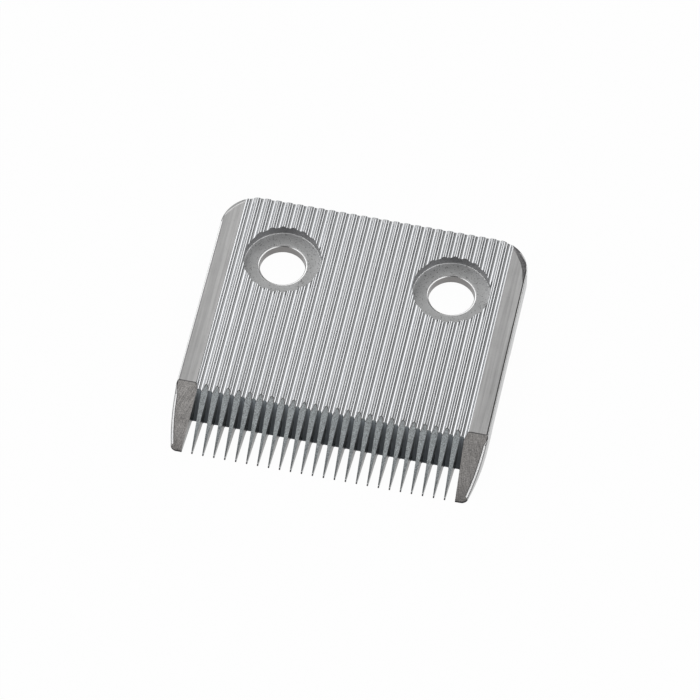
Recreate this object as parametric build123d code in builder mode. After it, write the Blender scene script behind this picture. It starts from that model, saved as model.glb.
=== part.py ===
from build123d import *
import os
from math import cos, radians, sin, sqrt, tan

# Fixed blade of a hair clipper: one hardened steel plate, ribbed on its upper face,
# with a comb of pointed teeth along the front and two counterbored screw holes near the rear.
# Millimetres. The origin is at the middle of the underside, +Y points to the rear, +Z up.

# Plate
blade_width = 46.1
blade_length = 44.2
blade_thickness = 3.3
rear_corner_radius = 5.5
edge_radius = 0.25
corner_roll_width = 0.6
corner_roll_radius = 1.4

# Comb of teeth, lengths measured back from the tips and widths at the underside
tooth_pitch = 1.62
fine_tooth_count = 24
tooth_tip_width = 0.2
tooth_root_width = 1.42
slot_through_length = 5.59
slot_root_length = 9.76
slot_wheel_radius = 40.0
slot_wall_draft = 3.4
slot_lean = 0.12
slot_corner_chamfer = 0.1
bevel_length = 10.1
tip_thickness = 0.4

# Wide tooth at each end of the comb
end_taper_length = 10.0
end_tip_width = 1.6
end_tip_radius = 1.0

# Ribs, one on each tooth, with a round-bottomed groove behind each slot
rib_offset = 0.05
rib_top_width = 0.09
rib_top_radius = 0.36
groove_floor_width = 0.23
groove_floor_radius = 0.4
rib_wall_angle = 47.0
rib_edge_angle = 6.0

# Screw holes
hole_spacing = 25.4
hole_rear_distance = 10.15
bore_diameter = 6.8
counterbore_diameter = 11.5
seat_thickness = 1.55
seat_corner_chamfer = 0.08
bore_edge_chamfer = 0.15

# Shallow relief across the underside, between the cutting land and the rear land
relief_start = 13.0
relief_length = 13.5
relief_depth = 0.3

# Room that every cutting shape has beyond the plate, and the width of a search for edges
clear = 1.0
tolerance = 0.01

tip_y = -blade_length / 2
rear_y = blade_length / 2
side_x = blade_width / 2
slot_count = fine_tooth_count + 1
slot_tip_width = tooth_pitch - tooth_tip_width
slot_root_width = tooth_pitch - tooth_root_width
end_tooth_inner_x = (slot_count - 1) / 2 * tooth_pitch + slot_tip_width / 2
end_tooth_outer_x = end_tooth_inner_x + end_tip_width
hole_y = rear_y - hole_rear_distance

# Edge of one rear corner, rolled down most at the middle of the bend. The roll turns about
# an axis further in than the bend's own, so that it runs out to nothing at both ends
roll_axis_shift = (
    corner_roll_width * (2 * rear_corner_radius - corner_roll_width)
    / ((2 - sqrt(2)) * rear_corner_radius - 2 * corner_roll_width)
)
roll_radius = rear_corner_radius - corner_roll_width + roll_axis_shift
roll_inset = rear_corner_radius + roll_axis_shift / sqrt(2)
roll_centre = (side_x - roll_inset, rear_y - roll_inset, blade_thickness)
roll_plane = Plane(origin=roll_centre, x_dir=(1, 0, 0), z_dir=(0, -1, 0))
with BuildPart() as corner_cutter:
    with BuildSketch(roll_plane):
        with BuildLine():
            roll = JernArc((roll_radius, 0), (1, 0), radius=corner_roll_radius, arc_size=-90)
            Polyline(
                roll @ 1,
                roll @ 1 + Vector(clear, 0),
                roll @ 1 + Vector(clear, corner_roll_radius + clear),
                roll @ 0 + Vector(0, clear),
                roll @ 0,
            )
        make_face()
    revolve(axis=Axis(roll_centre, (0, 0, 1)), revolution_arc=90)

# One slot between two teeth, as a tapered grinding wheel leaves it: walls that lean apart
# upwards and spread towards the tips, and a hollow floor that runs out through the underside.
# Its inner end lies a little to the left of its mouth
with BuildPart() as slot_cutter:
    with BuildSketch(Plane.XY):
        with BuildLine():
            Polyline(
                (-slot_tip_width / 2, tip_y - clear),
                (-slot_tip_width / 2, tip_y),
                (-slot_root_width / 2 - slot_lean, tip_y + slot_root_length),
                (slot_root_width / 2 - slot_lean, tip_y + slot_root_length),
                (slot_tip_width / 2, tip_y),
                (slot_tip_width / 2, tip_y - clear),
                close=True,
            )
        make_face()
    extrude(amount=blade_thickness, taper=-slot_wall_draft)
    with BuildSketch(Plane.YZ):
        with BuildLine():
            floor = RadiusArc(
                (tip_y + slot_through_length, 0),
                (tip_y + slot_root_length, blade_thickness),
                -slot_wheel_radius,
            )
            Polyline(
                floor @ 1,
                floor @ 1 + Vector(clear, 0),
                floor @ 1 + Vector(clear, -blade_thickness),
                floor @ 0,
            )
        make_face()
    extrude(amount=tooth_pitch, both=True, mode=Mode.SUBTRACT)
    floor_edges = slot_cutter.faces().filter_by(GeomType.CYLINDER).edges()
    chamfer(floor_edges.filter_by(Axis.X, reverse=True), length=slot_corner_chamfer)

# One groove of the ribbing: a flat floor, a hollow curve up into each wall and a round shoulder
# at the top, which the flat top of the rib cuts at a slight angle
rib_spread = rib_top_radius * (sin(radians(rib_wall_angle)) - sin(radians(rib_edge_angle)))
rib_rise = rib_top_radius * (cos(radians(rib_edge_angle)) - cos(radians(rib_wall_angle)))
floor_spread = groove_floor_radius * sin(radians(rib_wall_angle))
floor_rise = groove_floor_radius * (1 - cos(radians(rib_wall_angle)))
groove_half_width = (tooth_pitch - rib_top_width) / 2
wall_spread = groove_half_width - groove_floor_width / 2 - rib_spread - floor_spread
wall_rise = wall_spread * tan(radians(rib_wall_angle))
groove_bottom = blade_thickness - rib_rise - wall_rise - floor_rise
with BuildPart() as rib_cutter:
    with BuildSketch(Plane.XZ.offset(-rear_y - clear)):
        with BuildLine():
            bottom = Line((0, groove_bottom), (groove_floor_width / 2, groove_bottom))
            hollow = JernArc(bottom @ 1, bottom % 1, groove_floor_radius, rib_wall_angle)
            wall = Line(hollow @ 1, hollow @ 1 + Vector(wall_spread, wall_rise))
            shoulder = JernArc(wall @ 1, wall % 1, rib_top_radius, rib_edge_angle - rib_wall_angle)
            Polyline(
                shoulder @ 1,
                shoulder @ 1 + Vector(0, clear),
                (0, blade_thickness + clear),
            )
            mirror(about=Plane.YZ)
        make_face()
    extrude(amount=blade_length + 2 * clear)

# The blade, starting as a plate with round rear corners and sides that bend in along the end
# teeth
with BuildPart() as blade:
    with BuildSketch(Plane.XY) as outline:
        with BuildLine():
            rear = Line((0, rear_y), (side_x, rear_y))
            side = Line(rear @ 1, (side_x, tip_y + end_taper_length))
            taper = TangentArc(side @ 1, (end_tooth_outer_x, tip_y), tangent=side % 1)
            Line(taper @ 1, (0, tip_y))
            mirror(about=Plane.YZ)
        make_face()
        fillet(outline.vertices().group_by(Axis.Y)[-1], radius=rear_corner_radius)
        fillet(outline.vertices().group_by(Axis.Y)[0], radius=end_tip_radius)
    extrude(amount=blade_thickness)
    fillet(blade.faces().sort_by(Axis.Z)[-1].edges(), radius=edge_radius)
    add(corner_cutter.part, mode=Mode.SUBTRACT)
    mirror(corner_cutter.part, about=Plane.YZ, mode=Mode.SUBTRACT)

    # Bevel that thins the comb towards the tips
    with BuildSketch(Plane.YZ):
        with BuildLine():
            bevel = Line((tip_y + bevel_length, blade_thickness), (tip_y, tip_thickness))
            Polyline(
                bevel @ 1,
                bevel @ 1 + Vector(-clear, 0),
                bevel @ 1 + Vector(-clear, blade_thickness),
                bevel @ 0 + Vector(0, clear),
                bevel @ 0,
            )
        make_face()
    extrude(amount=blade_width / 2 + clear, both=True, mode=Mode.SUBTRACT)

    # Screw holes with flat seats for the screw heads, bevelled where each seat meets a wall
    with Locations((0, hole_y, blade_thickness)):
        with GridLocations(hole_spacing, hole_spacing, 2, 1):
            CounterBoreHole(
                radius=bore_diameter / 2,
                counter_bore_radius=counterbore_diameter / 2,
                counter_bore_depth=blade_thickness - seat_thickness,
            )
    seat_edges = blade.edges().filter_by(GeomType.CIRCLE).filter_by_position(
        Axis.Z, seat_thickness - tolerance, seat_thickness + tolerance
    )
    chamfer(seat_edges.group_by(SortBy.RADIUS)[-1], length=seat_corner_chamfer)
    chamfer(seat_edges.group_by(SortBy.RADIUS)[0], length=bore_edge_chamfer)

    # Relief between the two lands of the underside
    with BuildSketch(Plane.XY):
        with Locations((0, tip_y + relief_start + relief_length / 2)):
            Rectangle(blade_width + 2 * clear, relief_length)
    extrude(amount=relief_depth, mode=Mode.SUBTRACT)

    # Slots side by side across the blade, and the grooves a little to their left
    with GridLocations(tooth_pitch, tooth_pitch, slot_count, 1):
        add(slot_cutter.part, mode=Mode.SUBTRACT)
        with Locations((-rib_offset, 0)):
            add(rib_cutter.part, mode=Mode.SUBTRACT)

blade.part.label = "clipper_blade"
os.makedirs("parts", exist_ok=True)
export_step(blade.part, "parts/clipper_blade.step")
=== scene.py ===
import math

import bmesh
import bpy
from mathutils import Matrix, Vector


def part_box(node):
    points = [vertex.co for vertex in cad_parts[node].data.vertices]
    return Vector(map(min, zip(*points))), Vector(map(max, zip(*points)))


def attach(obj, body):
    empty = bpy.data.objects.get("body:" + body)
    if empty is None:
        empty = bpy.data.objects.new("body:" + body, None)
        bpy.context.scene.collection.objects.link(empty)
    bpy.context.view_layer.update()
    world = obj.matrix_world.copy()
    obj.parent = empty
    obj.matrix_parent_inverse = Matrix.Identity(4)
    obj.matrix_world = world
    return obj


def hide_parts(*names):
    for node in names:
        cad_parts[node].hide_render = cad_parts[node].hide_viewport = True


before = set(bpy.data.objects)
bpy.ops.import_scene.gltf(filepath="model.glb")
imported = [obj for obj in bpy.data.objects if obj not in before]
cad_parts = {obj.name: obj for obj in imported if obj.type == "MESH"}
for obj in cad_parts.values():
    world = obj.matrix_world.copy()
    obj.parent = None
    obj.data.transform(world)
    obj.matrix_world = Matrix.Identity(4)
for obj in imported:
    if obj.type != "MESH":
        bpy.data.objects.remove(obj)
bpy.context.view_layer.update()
scene = bpy.context.scene
mm = 0.001
bladeLow, bladeHigh = (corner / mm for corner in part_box("clipper_blade"))


# small helpers for node trees
def addNode(tree, kind, inputs=None, **settings):
    node = tree.nodes.new("ShaderNode" + kind)
    for name, value in settings.items():
        setattr(node, name, value)
    for name, value in (inputs or {}).items():
        if isinstance(value, bpy.types.NodeSocket):
            tree.links.new(value, node.inputs[name])
        else:
            node.inputs[name].default_value = value
    return node


def calc(tree, operation, first, second=0.0, clamp=False):
    node = addNode(tree, "Math", {0: first, 1: second}, operation=operation, use_clamp=clamp)
    return node.outputs[0]


def newGroup(name, inputs, outputs):
    group = bpy.data.node_groups.new(name, "ShaderNodeTree")
    for direction, sockets in (("INPUT", inputs), ("OUTPUT", outputs)):
        for socketName, kind in sockets.items():
            group.interface.new_socket(socketName, in_out=direction, socket_type="NodeSocket" + kind)
    return group, group.nodes.new("NodeGroupInput").outputs, group.nodes.new("NodeGroupOutput").inputs


# puts {position: level} on a colour ramp, as greys
def fillRamp(ramp, levels):
    marks = ramp.color_ramp.elements
    while len(marks) > 1:
        marks.remove(marks[0])
    for index, (position, level) in enumerate(levels.items()):
        mark = marks[0] if index == 0 else marks.new(position)
        mark.position = position
        mark.color = (level, level, level, 1)
    return ramp.outputs["Color"]


# ground steel: streaks that follow the grinding, soft clouds, grain and a few dark specks, all scaled by the
# Shade level, which carries painted light and shade
pattern = {
    "streakScale": 1.0, "streakDetail": 4.0, "cloudScale": 0.25, "grainScale": 3.0, "spotDetail": 2.0,
    "noiseMiddle": 0.5, "speckStart": 0.58, "speckFull": 0.68, "grainInRelief": 0.3,
}


def addNoise(tree, place, scale, detail):
    return addNode(tree, "TexNoise", {"Vector": place, "Scale": scale, "Detail": detail}).outputs["Fac"]


# noise as a swing to both sides of zero
def swing(tree, noise, size):
    return calc(tree, "MULTIPLY", calc(tree, "SUBTRACT", noise, pattern["noiseMiddle"]), size)


def makeGroundSteel():
    group, given, out = newGroup(
        "ground steel",
        {"Place": "Vector", "Spot Place": "Vector", "Tint": "Color", "Streaks": "Float", "Clouds": "Float",
         "Grain": "Float", "Specks": "Float", "Roughness": "Float", "Spread": "Float", "Shade": "Float"},
        {"Color": "Color", "Roughness": "Float", "Height": "Float"},
    )
    streak = addNoise(group, given["Place"], pattern["streakScale"], pattern["streakDetail"])
    cloud = addNoise(group, given["Spot Place"], pattern["cloudScale"], pattern["spotDetail"])
    grain = addNoise(group, given["Spot Place"], pattern["grainScale"], pattern["spotDetail"])
    speckRange = {"Value": grain, "From Min": pattern["speckStart"], "From Max": pattern["speckFull"]}
    speck = addNode(group, "MapRange", speckRange).outputs["Result"]
    level = swing(group, streak, given["Streaks"])
    level = calc(group, "ADD", level, swing(group, cloud, given["Clouds"]))
    level = calc(group, "ADD", level, swing(group, grain, given["Grain"]))
    level = calc(group, "SUBTRACT", level, calc(group, "MULTIPLY", speck, given["Specks"]))
    # Shade is painted light and shade, multiplied into the tint
    level = calc(group, "MULTIPLY", calc(group, "ADD", level, 1.0), given["Shade"])
    tinted = addNode(group, "VectorMath", {0: given["Tint"], "Scale": level}, operation="SCALE")
    rough = calc(group, "ADD", swing(group, streak, given["Spread"]), given["Roughness"], clamp=True)
    height = calc(group, "ADD", streak, calc(group, "MULTIPLY", grain, pattern["grainInRelief"]))
    group.links.new(tinted.outputs["Vector"], out["Color"])
    group.links.new(rough, out["Roughness"])
    group.links.new(height, out["Height"])
    return group


# turns a place into distance from an upright axis and length round it, with one axis on each side of the
# blade, and paints light on the rim of a round face, most to one side
paintedRimLight = {"oneSide": 0.55, "allRound": 0.45}


def makeRoundAxis():
    group, given, out = newGroup(
        "round an axis",
        {"Place": "Vector", "Axis X": "Float", "Axis Y": "Float", "Inner": "Float", "Outer": "Float",
         "Bright Side": "Float", "Gain": "Float"},
        {"Place": "Vector", "Shade": "Float"},
    )
    split = addNode(group, "SeparateXYZ", {0: given["Place"]}).outputs
    axisX = calc(group, "MULTIPLY", calc(group, "SIGN", split["X"]), given["Axis X"])
    across = calc(group, "SUBTRACT", split["X"], axisX)
    along = calc(group, "SUBTRACT", split["Y"], given["Axis Y"])
    flat = addNode(group, "CombineXYZ", {"X": across, "Y": along}).outputs[0]
    distance = addNode(group, "VectorMath", {0: flat}, operation="LENGTH").outputs["Value"]
    turn = calc(group, "ARCTAN2", along, across)
    length = calc(group, "MULTIPLY", turn, distance)
    place = addNode(group, "CombineXYZ", {"X": distance, "Y": length, "Z": split["Z"]}).outputs[0]
    # painted light: brighter towards the outer rim, most towards the bright side
    side = calc(group, "COSINE", calc(group, "SUBTRACT", turn, given["Bright Side"]))
    side = calc(group, "MULTIPLY", side, paintedRimLight["oneSide"])
    side = calc(group, "ADD", side, paintedRimLight["allRound"], clamp=True)
    rimRange = {"Value": distance, "From Min": given["Inner"], "From Max": given["Outer"]}
    rim = addNode(group, "MapRange", rimRange).outputs["Result"]
    extra = calc(group, "MULTIPLY", calc(group, "MULTIPLY", rim, side), given["Gain"])
    group.links.new(place, out["Place"])
    group.links.new(calc(group, "ADD", extra, 1.0), out["Shade"])
    return group


groundSteel = makeGroundSteel()
roundAxis = makeRoundAxis()
print("steel: shared node groups")


# painted light and shade along one axis of the blade, from {mm from its start: level}, over and over where
# there is a pitch
def makeShade(tree, place, axis, start, levels, pitch):
    reach = max(levels)
    along = calc(tree, "SUBTRACT", addNode(tree, "SeparateXYZ", {0: place}).outputs[axis], start * mm)
    if pitch:
        along = calc(tree, "FLOORED_MODULO", along, pitch * mm)
    ramp = addNode(tree, "ValToRGB", {"Fac": calc(tree, "DIVIDE", along, reach * mm, clamp=True)})
    return fillRamp(ramp, {distance / reach: level for distance, level in levels.items()})


def makeSteel(name, look):
    material = bpy.data.materials.new(name)
    material.use_nodes = True
    tree = material.node_tree
    shader = tree.nodes["Principled BSDF"]
    place = addNode(tree, "TexCoord").outputs["Object"]
    spots = addNode(tree, "Mapping", {"Vector": place, "Scale": [1 / (look["spot"] * mm)] * 3}).outputs[0]
    # product of the painted light and shade levels that this finish has along the blade's axes and across
    # each rib
    ways = {
        "acrossBlade": ("X", bladeLow.x, None), "alongBlade": ("Y", bladeLow.y, None),
        "upBlade": ("Z", bladeLow.z, None), "acrossRib": ("X", blade["grooveX"], blade["pitch"]),
    }
    shade = None
    for way, (axis, start, pitch) in ways.items():
        if way in look:
            level = makeShade(tree, place, axis, start, look[way], pitch)
            shade = calc(tree, "MULTIPLY", shade, level) if shade else level
    if "axis" in look:
        turned = addNode(tree, "Group", {
            "Place": place, "Axis X": look["axis"][0] * mm, "Axis Y": look["axis"][1] * mm,
            "Inner": look.get("rimInner", 0) * mm, "Outer": look.get("rimOuter", 1) * mm,
            "Bright Side": math.radians(look.get("rimSide", 0)), "Gain": look.get("rimGain", 0),
        }, node_tree=roundAxis).outputs
        place = turned["Place"]
        # the seat's painted rim light, where no other painted level is given
        shade = shade or turned["Shade"]
    grind = addNode(tree, "Mapping", {
        "Vector": place, "Scale": [1 / (size * mm) for size in look["streakSize"]]}).outputs[0]
    amounts = ("Streaks", "Clouds", "Grain", "Specks", "Roughness", "Spread")
    steel = addNode(tree, "Group", {
        "Place": grind, "Spot Place": spots, "Tint": (*look["tint"], 1), "Shade": shade or 1.0,
        **{amount: look.get(amount.lower(), 0.0) for amount in amounts},
    }, node_tree=groundSteel).outputs
    bump = addNode(tree, "Bump", {
        "Height": steel["Height"], "Strength": 1.0, "Distance": look["relief"] * mm})
    shader.inputs["Metallic"].default_value = 1.0
    tree.links.new(steel["Color"], shader.inputs["Base Color"])
    tree.links.new(steel["Roughness"], shader.inputs["Roughness"])
    tree.links.new(bump.outputs["Normal"], shader.inputs["Normal"])
    return material


# the blade, one plate: its CAD shape merged, with a finish for each ground surface, many of them lit or
# shaded copies of the one steel that carry painted light and shade. Sizes in mm
blade = {
    "ribbedHalfWidth": 20.3, "pitch": 1.62, "grooveX": -0.05,
    "bevelLength": 10.1, "tipThickness": 0.4, "slotRoot": 9.8,
    "holeX": 12.7, "holeY": 11.95, "boreRadius": 3.4, "counterboreRadius": 5.75,
    "cornerY": 16.2, "rimY": 20.3,  # where the rear corners start, and where the right one's painted bright rim ends
    "endEdge": 0.5, "crease": 0.07, "boreRound": 0.12,  # widths of the rounded edges that carry painted shade and highlights
    "weld": 0.0005, "flatAngle": 0.5, "sharpAngle": 22,
}
holeAxis = (blade["holeX"], blade["holeY"])

# finishes: spread is the roughness's unevenness, streaks to specks are shares of the tint, sizes and relief
# are in mm. Levels are painted light and shade, by mm from the left side, the tips, the underside or the
# middle of a groove
finishes = {
    "border": {
        "tint": (0.845, 0.84, 0.835), "roughness": 0.30, "spread": 0.12, "relief": 0.002, "spot": 1.0,
        "streaks": 0.6, "streakSize": (0.35, 14, 0.35), "clouds": 0.25, "specks": 0.05,
        # painted shade: the border darker towards the left side and towards the rear
        "acrossBlade": {0: 0.81, 1.2: 0.84, 2.7: 0.92, 43.4: 0.97, 46.1: 0.99},
        "alongBlade": {0: 1.0, 26: 0.99, 44.2: 0.93}},
    "ribs": {
        "tint": (0.725, 0.735, 0.75), "roughness": 0.16, "spread": 0.06, "relief": 0.001, "spot": 0.6,
        "streaks": 0.14, "streakSize": (0.12, 5, 0.12), "clouds": 0.08, "specks": 0.05,
        # painted shade on the rib crowns and towards the rear, and painted highlight and shade bands across
        # each rib
        "upBlade": {0: 1.0, 3.1: 1.0, 3.27: 0.82, 3.3: 0.82},
        "alongBlade": {0: 1.03, 14: 1.03, 28: 0.97, 43.5: 0.91, 43.9: 0.82, 44.2: 0.78},
        "acrossRib": {0: 1.12, 0.3: 1.0, 0.42: 0.83, 0.6: 1.2, 0.75: 0.8, 0.88: 1.5, 0.96: 1.34, 1.05: 0.98,
                      1.22: 1.15, 1.38: 0.86, 1.54: 1.1, 1.62: 1.12}},
    "endBevel": {
        "tint": (0.58, 0.56, 0.545), "roughness": 0.36, "spread": 0.14, "relief": 0.004, "spot": 0.5,
        "streaks": 1.3, "streakSize": (0.11, 4, 1), "clouds": 0.3, "grain": 1.8, "axis": (-16.6, -28.4),
        # painted shade: the end bevels darker towards the right side and towards the tips
        "acrossBlade": {0: 1.04, 3: 1.04, 43: 0.92, 46.1: 0.92},
        "alongBlade": {0: 0.72, 1.5: 0.86, 3.5: 1.0, 10.1: 1.0}},
    "toothBevel": {
        "tint": (0.64, 0.685, 0.70), "roughness": 0.34, "spread": 0.12, "relief": 0.003, "spot": 0.5,
        "streaks": 0.7, "streakSize": (0.16, 1.2, 0.16), "clouds": 0.3, "grain": 2.0,
        # painted shade: near black at the very tips, then a painted highlight, then darker towards the tips
        "alongBlade": {0: 0.05, 0.05: 0.05, 0.1: 1.5, 0.2: 1.5, 0.3: 0.42, 1.6: 0.56, 3.2: 0.8, 5.2: 1.0}},
    # slot floors and their corners: dark tints are painted shade, the floors lighter towards the slot root
    # as painted light
    "slotFloor": {
        "tint": (0.45, 0.50, 0.54), "roughness": 0.30, "spread": 0.08, "relief": 0.002, "spot": 0.6,
        "streaks": 0.2, "streakSize": (0.2, 3, 3), "clouds": 0.1, "specks": 0.05,
        "alongBlade": {0: 1.3, 7.0: 1.3, 8.4: 1.5, 9.6: 2.1}},
    "slotCorner": {
        "tint": (0.50, 0.535, 0.565), "roughness": 0.32, "spread": 0.08, "relief": 0.002, "spot": 0.6,
        "streaks": 0.2, "streakSize": (0.2, 3, 3), "clouds": 0.1, "specks": 0.05},
    # tooth walls: the dark tint is painted shade, near black at the tips, lighter just behind them and
    # towards the root as painted light
    "toothWall": {
        "tint": (0.23, 0.23, 0.225), "roughness": 0.36, "spread": 0.08, "relief": 0.002, "spot": 0.6,
        "streaks": 0.3, "streakSize": (0.5, 2, 0.12), "clouds": 0.15, "specks": 0.05,
        "alongBlade": {0: 0.08, 0.14: 0.08, 0.22: 1.6, 1.5: 1.5, 4.0: 1.0, 5.4: 0.95, 6.2: 1.5, 9.8: 1.5}},
    # tip ends: a near-black tint, painted shade
    "tipEnd": {
        "tint": (0.03, 0.03, 0.03), "roughness": 0.5, "spread": 0.1, "relief": 0.002, "spot": 0.6,
        "streaks": 0.2, "streakSize": (0.2, 0.2, 0.2), "clouds": 0.1, "specks": 0.05},
    # seat: its rim keys paint light on the outer rim, most towards the far side
    "seat": {
        "tint": (0.64, 0.645, 0.645), "roughness": 0.58, "spread": 0.10, "relief": 0.002, "spot": 0.7,
        "streaks": 0.25, "streakSize": (0.12, 4, 0.12), "clouds": 0.35, "grain": 0.3, "specks": 0.5,
        "axis": holeAxis, "rimInner": 4.2, "rimOuter": 5.6, "rimSide": 85, "rimGain": 0.62},
    # counterbore and bore walls: dark tints, painted shade
    "seatWall": {
        "tint": (0.285, 0.285, 0.295), "roughness": 0.30, "spread": 0.08, "relief": 0.002, "spot": 0.5,
        "streaks": 0.3, "streakSize": (3, 4, 0.1), "clouds": 0.2, "specks": 0.05, "axis": holeAxis},
    "boreWall": {
        "tint": (0.215, 0.208, 0.205), "roughness": 0.34, "spread": 0.08, "relief": 0.002, "spot": 0.5,
        "streaks": 0.4, "streakSize": (3, 4, 0.1), "clouds": 0.3, "specks": 0.05, "axis": holeAxis},
    "edges": {
        "tint": (0.82, 0.82, 0.82), "roughness": 0.22, "spread": 0.08, "relief": 0.001, "spot": 0.8,
        "streaks": 0.1, "streakSize": (4, 4, 0.12), "clouds": 0.06, "specks": 0.04},
    # rear faces of the ribs: a dark tint, painted shade
    "rearEdge": {
        "tint": (0.29, 0.29, 0.29), "roughness": 0.26, "spread": 0.08, "relief": 0.001, "spot": 0.8,
        "streaks": 0.2, "streakSize": (0.12, 4, 0.12), "clouds": 0.1, "specks": 0.04},
    # rolled rear corners: dark tints as painted shade, the right one lighter towards the rear as painted
    # light
    "leftCorner": {
        "tint": (0.25, 0.25, 0.25), "roughness": 0.30, "spread": 0.10, "relief": 0.001, "spot": 0.8,
        "streaks": 0.3, "streakSize": (0.35, 8, 0.35), "clouds": 0.2, "specks": 0.04},
    "rightCorner": {
        "tint": (0.30, 0.295, 0.30), "roughness": 0.34, "spread": 0.10, "relief": 0.003, "spot": 0.5,
        "streaks": 0.3, "streakSize": (0.35, 8, 0.35), "clouds": 0.4, "grain": 2.4,
        "alongBlade": {0: 0.7, 41.6: 0.85, 42.6: 1.5, 44.2: 1.9}},
    # a line along the left border's outer edge, darker than the border: painted shade
    "leftLine": {
        "tint": (0.50, 0.50, 0.50), "roughness": 0.30, "spread": 0.10, "relief": 0.002, "spot": 0.6,
        "streaks": 0.4, "streakSize": (0.35, 8, 0.35), "clouds": 0.2, "grain": 0.8},
    # side edges on the right: a darker tint than the left edges, painted shade
    "sideEdge": {
        "tint": (0.56, 0.56, 0.56), "roughness": 0.30, "spread": 0.10, "relief": 0.002, "spot": 0.6,
        "streaks": 0.5, "streakSize": (4, 4, 0.12), "clouds": 0.2, "grain": 0.8},
    # bright rim: a painted highlight
    "brightRim": {
        "tint": (0.98, 0.98, 0.98), "roughness": 0.5, "spread": 0.10, "relief": 0.001, "spot": 0.8,
        "streaks": 0.1, "streakSize": (4, 4, 0.12), "clouds": 0.06, "specks": 0.04},
    # grey rim: a dark strip, painted shade
    "greyRim": {
        "tint": (0.26, 0.26, 0.26), "roughness": 0.3, "spread": 0.10, "relief": 0.001, "spot": 0.8,
        "streaks": 0.2, "streakSize": (4, 4, 0.12), "clouds": 0.1, "specks": 0.04},
    # bore and seat rims: a bright tint, painted highlight
    "boreRim": {
        "tint": (0.88, 0.88, 0.88), "roughness": 0.27, "spread": 0.10, "relief": 0.002, "spot": 0.5,
        "streaks": 0.3, "streakSize": (3, 4, 0.1), "clouds": 0.3, "specks": 0.1, "axis": holeAxis},
    # edge line: a near-black line, painted shade
    "edgeLine": {
        "tint": (0.12, 0.115, 0.115), "roughness": 0.34, "spread": 0.08, "relief": 0.001, "spot": 0.4,
        "streaks": 0.3, "streakSize": (0.3, 2, 0.3), "clouds": 0.3, "specks": 0.1},
    # crease: a dark line in the bevel's crease, painted shade
    "crease": {
        "tint": (0.19, 0.185, 0.185), "roughness": 0.34, "spread": 0.08, "relief": 0.001, "spot": 0.4,
        "streaks": 0.3, "streakSize": (0.3, 2, 0.3), "clouds": 0.3, "specks": 0.1},
    # outer walls: a darker copy of the steel, painted shade
    "outerWall": {
        "tint": (0.46, 0.46, 0.46), "roughness": 0.28, "spread": 0.08, "relief": 0.001, "spot": 0.8,
        "streaks": 0.15, "streakSize": (4, 4, 0.12), "clouds": 0.06, "specks": 0.04},
    "underside": {
        "tint": (0.76, 0.76, 0.76), "roughness": 0.26, "spread": 0.1, "relief": 0.001, "spot": 0.8,
        "streaks": 0.15, "streakSize": (14, 0.2, 0.2), "clouds": 0.06, "specks": 0.03},
}

# limits that sort the faces: room round the sizes in mm, then parts of a face's normal
sorting = {
    "combRoom": 0.4, "boreRoom": 0.3, "seatRoom": 0.05, "seatDepth": 0.8, "ribDepth": 0.6, "tipReach": 0.8,
    "bevelGap": 0.02,
    "down": -0.5, "leaning": 0.05, "upright": 0.1, "sloping": 0.4, "nearlyFlat": 0.9, "flat": 0.99,
    "level": 0.9995,
    "forward": -0.35, "floorForward": -0.15, "floorSideways": 0.25, "sideways": 0.9, "rearward": 0.3,
    "rimFlat": 0.97, "rollFlat": 0.992, "rollEnd": 0.6,
}


# sorts faces by place and slope; several finishes are lit or shaded copies of the steel, so the slope picks
# painted light or shade
def finishOf(face):
    x, y, z = face.calc_center_median() / mm
    nx, ny, nz = face.normal
    fromTips = y - bladeLow.y
    fromHole = math.hypot(abs(x) - blade["holeX"], y - blade["holeY"])
    bevelRise = (bladeHigh.z - blade["tipThickness"]) / blade["bevelLength"]
    aboveBevel = z - blade["tipThickness"] - bevelRise * fromTips
    atHole = fromHole < blade["boreRadius"] + sorting["boreRoom"]
    inSeat = fromHole < blade["counterboreRadius"] + sorting["seatRoom"]
    inComb = fromTips < blade["slotRoot"] and abs(x) < blade["ribbedHalfWidth"] + sorting["combRoom"]
    inRibs = abs(x) < blade["ribbedHalfWidth"] and z > bladeHigh.z - sorting["ribDepth"]
    upright = abs(nz) < sorting["upright"]
    if nz < sorting["down"]:
        return "underside"
    # walls of the holes take dark finishes as painted shade, their chamfers a bright one as painted
    # highlight
    if atHole and nz < sorting["nearlyFlat"]:
        return "boreWall" if nz < sorting["sloping"] else "boreRim"
    if inSeat and z < bladeHigh.z - sorting["seatDepth"] and nz > sorting["sloping"]:
        return "seat"
    if inSeat and nz < sorting["leaning"]:
        return "seatWall"
    # tip ends take a near-black finish, painted shade
    if ny < sorting["forward"] and upright and fromTips < sorting["tipReach"]:
        return "tipEnd"
    if nz > sorting["nearlyFlat"] and abs(aboveBevel) < sorting["bevelGap"]:
        return "endBevel" if abs(x) > blade["ribbedHalfWidth"] - sorting["combRoom"] else "toothBevel"
    if inComb and upright and abs(nx) > sorting["sideways"]:
        return "toothWall"
    if inComb and ny < sorting["floorForward"]:
        return "slotFloor" if abs(nx) < sorting["floorSideways"] else "slotCorner"
    if inRibs and nz > sorting["leaning"]:
        return "ribs" if ny < sorting["rearward"] else "rearEdge"
    if y > blade["cornerY"] and sorting["leaning"] < nz < sorting["level"]:
        return cornerFinish(x, y, nz)
    if nz > sorting["flat"]:
        return "border"
    if nz > sorting["leaning"]:
        # the right side's edges are a darker copy of the left's, painted shade
        return "sideEdge" if x > 0 else "edges"
    return "outerWall"


# the rolled rear corners, painted dark as shade: on the right one a painted highlight rim, the left one
# still bright at the top of its roll and ending in a painted dark line
def cornerFinish(x, y, nz):
    if x > 0:
        return "brightRim" if nz < sorting["rimFlat"] and y < blade["rimY"] else "rightCorner"
    if nz > sorting["rollFlat"]:
        return "border"
    return "leftCorner" if nz > sorting["rollEnd"] else "edgeLine"


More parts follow.
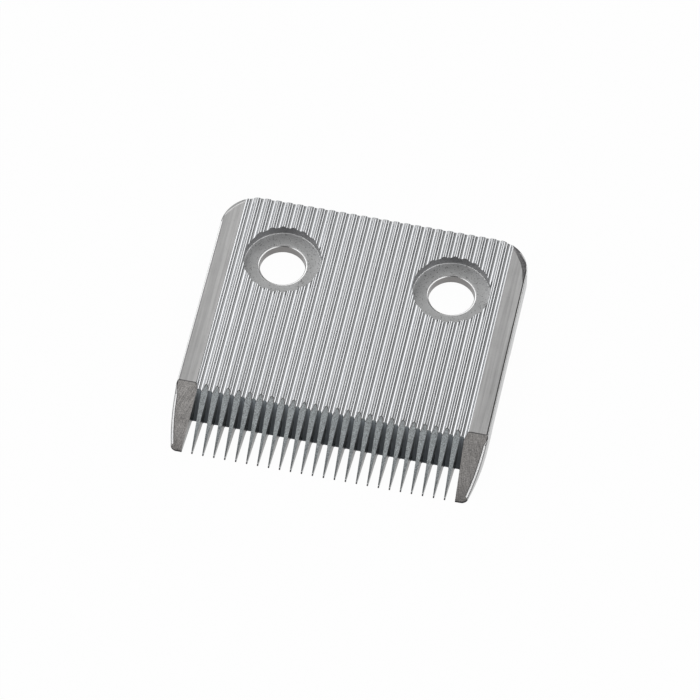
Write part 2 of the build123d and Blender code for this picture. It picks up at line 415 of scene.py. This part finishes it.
# bevels the edges between two groups of finishes. The strips take the finishes in looks, the flattest first,
# so each strip's tint paints the light or shade of its slope
def roundEdges(shape, slots, these, those, width, looks):
    ridge = []
    for edge in shape.edges:
        names = {slots[face.material_index] for face in edge.link_faces}
        if len(edge.link_faces) == 2 and names.intersection(these) and names.intersection(those):
            ridge.append(edge)
    rounded = bmesh.ops.bevel(
        shape, geom=ridge, offset=width * mm, affect="EDGES", segments=len(looks), profile=0.5, material=-1)
    for face in rounded["faces"]:
        face.normal_update()
        strip = int(math.degrees(face.normal.angle(Vector((0, 0, 1)))) / 90 * len(looks))
        face.material_index = slots.index(looks[min(strip, len(looks) - 1)])


# cuts faces along a plane and gives the part beyond it another finish
def splitOff(shape, slots, these, point, outward, finish):
    faces = [face for face in shape.faces if slots[face.material_index] in these]
    parts = set(faces)
    for face in faces:
        parts.update(face.edges)
        parts.update(face.verts)
    bmesh.ops.bisect_plane(
        shape, geom=list(parts), dist=blade["weld"] * mm, plane_co=point * mm, plane_no=outward)
    for face in shape.faces:
        beyond = (face.calc_center_median() / mm - point).dot(outward) > 0
        if beyond and slots[face.material_index] in these:
            face.material_index = slots.index(finish)


# painted shade on the borders: a darker line along each outer edge, and on the right one a dark crescent
# round the rear corner, cut by planes at some angles about a centre
paintedBorderShade = {
    "lineX": 22.68, "leftLineX": 22.66, "bevelX": 22.82,
    "centre": (13.99, 14.78), "radius": 8.56, "angles": (12, 22, 32, 44, 56),
}


def paintBorderShade(shape, slots):
    rightward = Vector((1, 0, 0))
    splitOff(shape, slots, ("border",), paintedBorderShade["lineX"] * rightward, rightward, "edgeLine")
    splitOff(shape, slots, ("border",), -paintedBorderShade["leftLineX"] * rightward, -rightward, "leftLine")
    splitOff(shape, slots, ("endBevel",), paintedBorderShade["bevelX"] * rightward, rightward, "edgeLine")
    splitOff(shape, slots, ("endBevel",), -paintedBorderShade["bevelX"] * rightward, -rightward, "edgeLine")
    for angle in paintedBorderShade["angles"]:
        outward = Vector((math.cos(math.radians(angle)), math.sin(math.radians(angle)), 0))
        point = Vector((*paintedBorderShade["centre"], 0)) + paintedBorderShade["radius"] * outward
        splitOff(shape, slots, ("border",), point, outward, "rightCorner")


def makeBlade():
    mesh = bpy.data.meshes.new("blade")
    shape = bmesh.new()
    shape.from_mesh(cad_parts["clipper_blade"].data)
    bmesh.ops.remove_doubles(shape, verts=shape.verts, dist=blade["weld"] * mm)
    bmesh.ops.dissolve_limit(
        shape, angle_limit=math.radians(blade["flatAngle"]), verts=shape.verts, edges=shape.edges)
    shape.normal_update()
    slots = list(finishes)
    for face in shape.faces:
        face.material_index = slots.index(finishOf(face))
    # rounded edges: a dark line of painted shade where the comb's bevel starts, and rims with painted
    # highlights and shade by slope
    endLooks = ["edgeLine"] * 2 + ["brightRim"] * 2 + ["greyRim"] * 2 + ["outerWall"] * 2
    roundEdges(shape, slots, ("toothBevel", "endBevel"), ("ribs", "border"), blade["crease"], ["crease"])
    roundEdges(shape, slots, ("endBevel",), ("outerWall",), blade["endEdge"], endLooks)
    roundEdges(shape, slots, ("seat",), ("boreRim",), blade["boreRound"], ["boreRim"] * 2)
    paintBorderShade(shape, slots)
    for face in shape.faces:
        face.smooth = True
    sharpAngle = math.radians(blade["sharpAngle"])
    for edge in shape.edges:
        edge.smooth = len(edge.link_faces) == 2 and edge.calc_face_angle() < sharpAngle
    shape.to_mesh(mesh)
    shape.free()
    for name in slots:
        mesh.materials.append(makeSteel(name, finishes[name]))
    piece = bpy.data.objects.new("blade", mesh)
    scene.collection.objects.link(piece)
    normals = piece.modifiers.new("flat faces stay flat", "WEIGHTED_NORMAL")
    normals.keep_sharp = True
    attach(piece, "root")
    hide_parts("clipper_blade")
    print("blade:", len(mesh.polygons), "faces in", len(slots), "finishes")


makeBlade()

# studio floor, pale and wide. The camera and reflections see whiteShare of it as plain white, the rest takes
# the shadow
floor = {"size": 6.0, "albedo": (0.92, 0.92, 0.92), "roughness": 0.9, "white": 1.0, "whiteShare": 0.975}


def makeFloor():
    material = bpy.data.materials.new("pale floor")
    material.use_nodes = True
    tree = material.node_tree
    matt = tree.nodes["Principled BSDF"]
    matt.inputs["Base Color"].default_value = (*floor["albedo"], 1)
    matt.inputs["Roughness"].default_value = floor["roughness"]
    glow = addNode(tree, "Emission", {"Color": (1, 1, 1, 1), "Strength": floor["white"]})
    path = addNode(tree, "LightPath").outputs
    seen = calc(tree, "MAXIMUM", path["Is Glossy Ray"], path["Is Transmission Ray"])
    seen = calc(tree, "MAXIMUM", path["Is Camera Ray"], seen)
    share = calc(tree, "MULTIPLY", seen, floor["whiteShare"])
    mix = addNode(tree, "MixShader", {0: share, 1: matt.outputs[0], 2: glow.outputs[0]})
    tree.links.new(mix.outputs[0], tree.nodes["Material Output"].inputs["Surface"])
    mesh = bpy.data.meshes.new("floor")
    shape = bmesh.new()
    bmesh.ops.create_grid(shape, x_segments=1, y_segments=1, size=floor["size"] / 2)
    shape.to_mesh(mesh)
    shape.free()
    mesh.materials.append(material)
    piece = bpy.data.objects.new("floor", mesh)
    scene.collection.objects.link(piece)


# direction from azimuth and elevation in degrees, azimuth 0 in front of the tips
def toward(azimuth, elevation):
    a, e = math.radians(azimuth), math.radians(elevation)
    return Vector((math.sin(a) * math.cos(e), -math.cos(a) * math.cos(e), math.sin(e)))


# dome: levels of light by degrees of height, then soft-edged panels and cards in front of it, full within
# inner degrees and gone past outer
dome = {
    "levels": {0: 0.25, 18: 0.25, 32: 1.49, 45: 1.15, 57: 0.50, 70: 0.42, 90: 0.34},
    "cards": {
        "front black card": {"azimuth": 0, "elevation": 44, "inner": 14, "outer": 32, "level": 0.03},
        "dark gap behind": {"azimuth": 170, "elevation": 30, "inner": 10, "outer": 24, "level": 0.12},
        "left panel": {"azimuth": 217, "elevation": 30, "inner": 10, "outer": 29.5, "level": 1.56},
        "right panel": {"azimuth": 130, "elevation": 38, "inner": 7.3, "outer": 18, "level": 1.60},
        "right upper card": {"azimuth": 161, "elevation": 64, "inner": 10, "outer": 22, "level": 0.06},
        "right low card": {"azimuth": 131.5, "elevation": 1, "inner": 5.3, "outer": 9.5, "level": 0.37},
    },
}


def makeDome():
    world = bpy.data.worlds.new("studio dome")
    world.use_nodes = True
    scene.world = world
    tree = world.node_tree
    direction = addNode(tree, "TexCoord").outputs["Generated"]
    height = addNode(tree, "SeparateXYZ", {0: direction}).outputs["Z"]
    ramp = addNode(tree, "ValToRGB", {"Fac": height})
    ramp.color_ramp.interpolation = "EASE"
    light = fillRamp(ramp, {
        math.sin(math.radians(elevation)): level for elevation, level in dome["levels"].items()})
    for card in dome["cards"].values():
        middle = toward(card["azimuth"], card["elevation"])
        facing = addNode(tree, "VectorMath", {0: direction, 1: middle}, operation="DOT_PRODUCT")
        mask = addNode(tree, "MapRange", {
            "Value": facing.outputs["Value"], "From Min": math.cos(math.radians(card["outer"])),
            "From Max": math.cos(math.radians(card["inner"]))}, interpolation_type="SMOOTHSTEP")
        grey = [card["level"]] * 3 + [1]
        mix = addNode(tree, "MixRGB", {"Fac": mask.outputs["Result"], "Color1": light, "Color2": grey})
        light = mix.outputs["Color"]
    tree.links.new(light, tree.nodes["Background"].inputs["Color"])


makeFloor()
makeDome()
print("studio: floor and dome")

# camera, at the photograph's angle. Lengths in metres, angles in degrees, lens and sensor in mm
view = {
    "target": (-0.00005, 0.00038, 0.0), "distance": 0.839,
    "azimuth": 11.758, "elevation": 56.412, "roll": 0.358, "lens": 294.95, "sensor": 36,
}


def makeCamera():
    camera = bpy.data.objects.new("camera", bpy.data.cameras.new("camera"))
    camera.data.sensor_width = view["sensor"]
    camera.data.lens = view["lens"]
    turn = Matrix.Rotation(math.radians(view["azimuth"]), 4, "Z")
    turn = turn @ Matrix.Rotation(math.radians(90 - view["elevation"]), 4, "X")
    turn = turn @ Matrix.Rotation(math.radians(view["roll"]), 4, "Z")
    place = Vector(view["target"]) + view["distance"] * toward(view["azimuth"], view["elevation"])
    camera.matrix_world = Matrix.Translation(place) @ turn
    scene.collection.objects.link(camera)
    scene.camera = camera


makeCamera()
scene.view_settings.view_transform = "Standard"
print("camera set")
